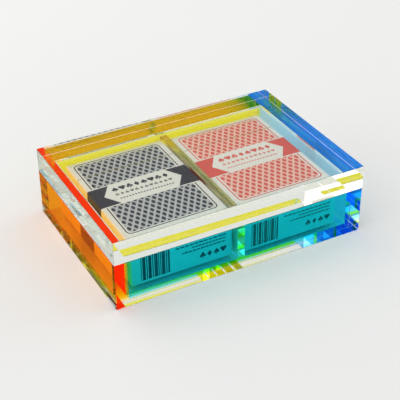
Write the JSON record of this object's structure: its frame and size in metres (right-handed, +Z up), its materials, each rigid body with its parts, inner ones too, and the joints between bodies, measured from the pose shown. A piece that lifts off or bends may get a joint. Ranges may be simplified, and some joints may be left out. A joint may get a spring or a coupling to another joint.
{
  "type": "two-deck playing card box",
  "caption": "Clear and coloured acrylic box with a lift-off clear lid, a centre divider and a card deck in a tuck carton on each side.",
  "frame": {"origin": "middle of the base plate's underside", "axes": "+X across the two decks, +Y from the front panel to the back panel, +Z up"},
  "size_m": [0.165, 0.114, 0.0461],
  "materials": {
    "clear_acrylic": "polished",
    "orange_acrylic": "polished",
    "blue_acrylic": "polished",
    "teal_acrylic": "polished",
    "yellow_acrylic": "polished",
    "slate_printed_board": "satin",
    "red_printed_board": "satin",
    "playing_card": "satin"
  },
  "bodies": {
    "box": {"base_plate": "clear_acrylic", "left_wall": "orange_acrylic", "right_wall": "blue_acrylic", "front_panel": "teal_acrylic", "back_panel": "yellow_acrylic", "divider": "clear_acrylic"},
    "lid": {"lid_slab": "clear_acrylic", "lid_locating_plate": "clear_acrylic"},
    "left_deck": {"left_deck_carton": "slate_printed_board", "left_deck_tuck_flap": "slate_printed_board", "left_deck_dust_flap_left": "slate_printed_board", "left_deck_dust_flap_right": "slate_printed_board", "left_deck_cards": "playing_card"},
    "right_deck": {"right_deck_carton": "red_printed_board", "right_deck_tuck_flap": "red_printed_board", "right_deck_dust_flap_left": "red_printed_board", "right_deck_dust_flap_right": "red_printed_board", "right_deck_cards": "playing_card"}
  },
  "joints": [
    {"name": "lid_lift", "type": "slide", "parent": "box", "child": "lid", "axis": [0, 0, 1], "range_m": [0, 0.12]},
    {"name": "left_deck_lift", "type": "slide", "parent": "box", "child": "left_deck", "axis": [0, 0, 1], "range_m": [0, 0.054]},
    {"name": "right_deck_lift", "type": "slide", "parent": "box", "child": "right_deck", "axis": [0, 0, 1], "range_m": [0, 0.054]}
  ],
  "couplings": [
    {"joint": "left_deck_lift", "follows": "lid_lift", "ratio": 0.45},
    {"joint": "right_deck_lift", "follows": "lid_lift", "ratio": 0.45}
  ]
}
